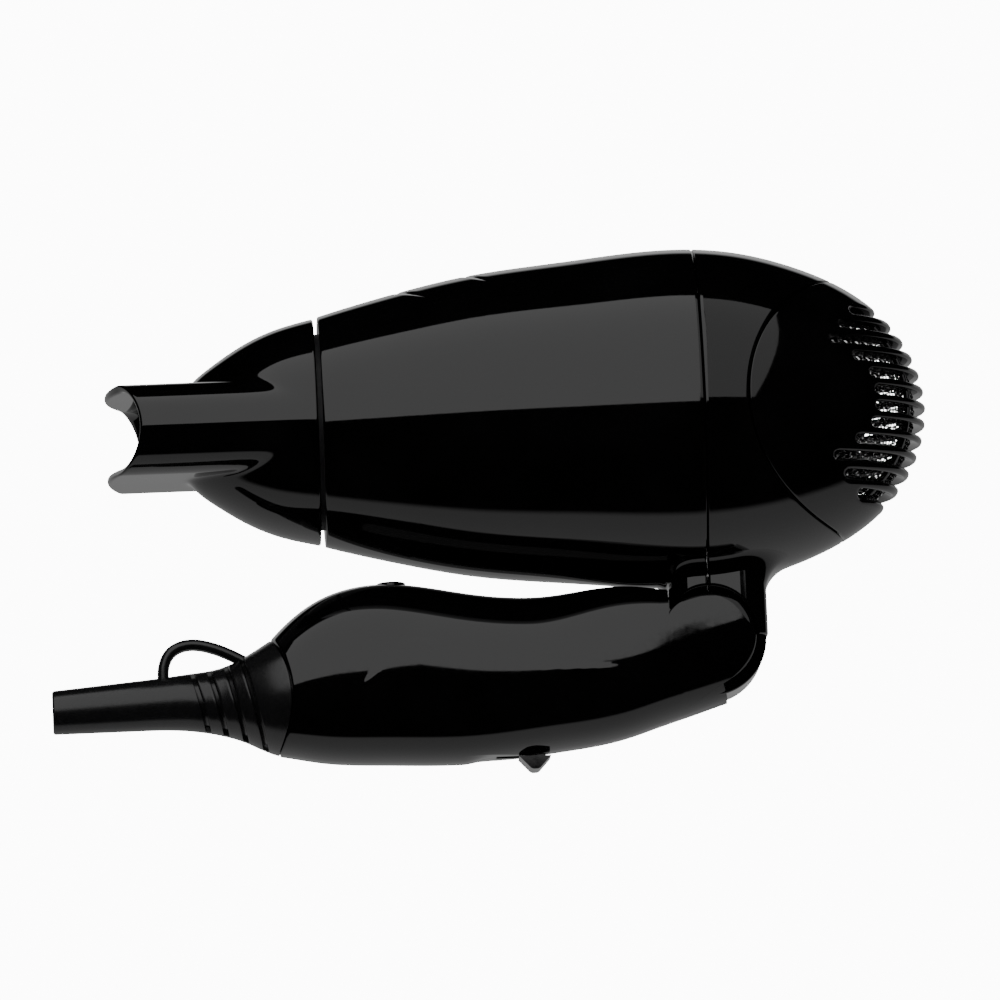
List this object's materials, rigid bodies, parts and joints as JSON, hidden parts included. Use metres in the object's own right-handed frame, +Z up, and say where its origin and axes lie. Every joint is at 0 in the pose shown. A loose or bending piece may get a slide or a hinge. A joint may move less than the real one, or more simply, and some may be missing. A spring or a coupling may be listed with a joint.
{
  "type": "folding travel hair dryer",
  "caption": "Folding travel hair dryer: egg-shaped barrel with a finned rear intake, removable flat concentrator, and a handle with switches that folds under the barrel.",
  "frame": {"origin": "under the middle of the dryer's box, at its lowest point, with the handle folded", "axes": "+X along the barrel towards the air intake, -X towards the nozzle, +Z up with the barrel above the handle, +Y across the plane of symmetry"},
  "size_m": [0.1946, 0.0746, 0.114],
  "materials": {
    "gloss_shell": "piano-black gloss ABS",
    "knob_plastic": "black, slightly softer gloss",
    "boot_rubber": "satin black PVC rubber",
    "inner_plastic": "matt black heat-resistant nylon",
    "washer_nylon": "natural nylon",
    "steel": "zinc-plated steel",
    "screen_wire": "bright woven steel wire",
    "ferrite": "dull grey-black",
    "bronze": "satin",
    "mica": "flaky pale mica board",
    "heater_wire": "drawn nichrome",
    "thermostat_metal": "satin",
    "board": "phenolic board",
    "lead_insulation": "silicone insulation"
  },
  "bodies": {
    "barrel": {"front_housing": "gloss_shell", "rear_housing": "gloss_shell", "housing_screws": "steel", "outlet_ring": "inner_plastic", "outlet_grille": "steel", "mica_cross": "mica", "main_heating_coil": "heater_wire", "low_heating_coil": "heater_wire", "mica_sleeve": "mica", "thermostat": "thermostat_metal", "thermal_fuse": "thermostat_metal", "motor_can": "steel", "brush_cap": "inner_plastic", "motor_bushes": "bronze", "motor_magnets": "ferrite", "motor_mount": "inner_plastic", "motor_screws": "steel", "diode_board": "board", "diodes": "ferrite", "heater_leads": "lead_insulation", "hinge_sleeve": "steel", "hinge_washers": "washer_nylon"},
    "collar": {"nozzle_collar": "inner_plastic"},
    "nozzle": {"concentrator": "gloss_shell"},
    "cap": {"intake_cap": "gloss_shell", "lint_screen": "screen_wire", "screen_ring": "inner_plastic"},
    "fan": {"fan_impeller": "inner_plastic", "motor_shaft": "steel", "armature": "steel"},
    "handle": {"handle_left_shell": "gloss_shell", "handle_right_shell": "gloss_shell", "handle_screws": "steel", "cord_boot": "boot_rubber", "cord_clamp": "inner_plastic", "clamp_screws": "steel", "switch_body": "inner_plastic", "switch_contacts": "bronze", "cool_shot_switch": "inner_plastic", "switch_leads": "lead_insulation"},
    "knob": {"switch_knob": "knob_plastic"},
    "button": {"cool_shot_button": "knob_plastic", "cool_shot_spring": "steel"}
  },
  "joints": [
    {"name": "handle_fold", "type": "hinge", "parent": "barrel", "child": "handle", "pos_m": [0.04695, 0, 0.0268], "axis": [0, -1, 0], "range_deg": [0, 73]},
    {"name": "nozzle_pull", "type": "slide", "parent": "barrel", "child": "collar", "axis": [-1, 0, 0], "range_m": [0, 0.02]},
    {"name": "nozzle_swivel", "type": "hinge", "parent": "collar", "child": "nozzle", "pos_m": [-0.04, 0, 0.0767], "axis": [1, 0, 0], "continuous": true},
    {"name": "cap_pull", "type": "slide", "parent": "barrel", "child": "cap", "axis": [1, 0, 0], "range_m": [0, 0.03]},
    {"name": "fan_spin", "type": "hinge", "parent": "barrel", "child": "fan", "pos_m": [0.069, 0, 0.0767], "axis": [1, 0, 0], "continuous": true},
    {"name": "switch_slide", "type": "slide", "parent": "handle", "child": "knob", "axis": [-1, 0, 0], "range_m": [0, 0.006]},
    {"name": "cool_shot_press", "type": "slide", "parent": "handle", "child": "button", "axis": [0, 0, -1], "range_m": [0, 0.0015], "stiffness_N_per_m": 400, "springref_m": -0.002, "deforming": ["cool_shot_spring"]}
  ]
}
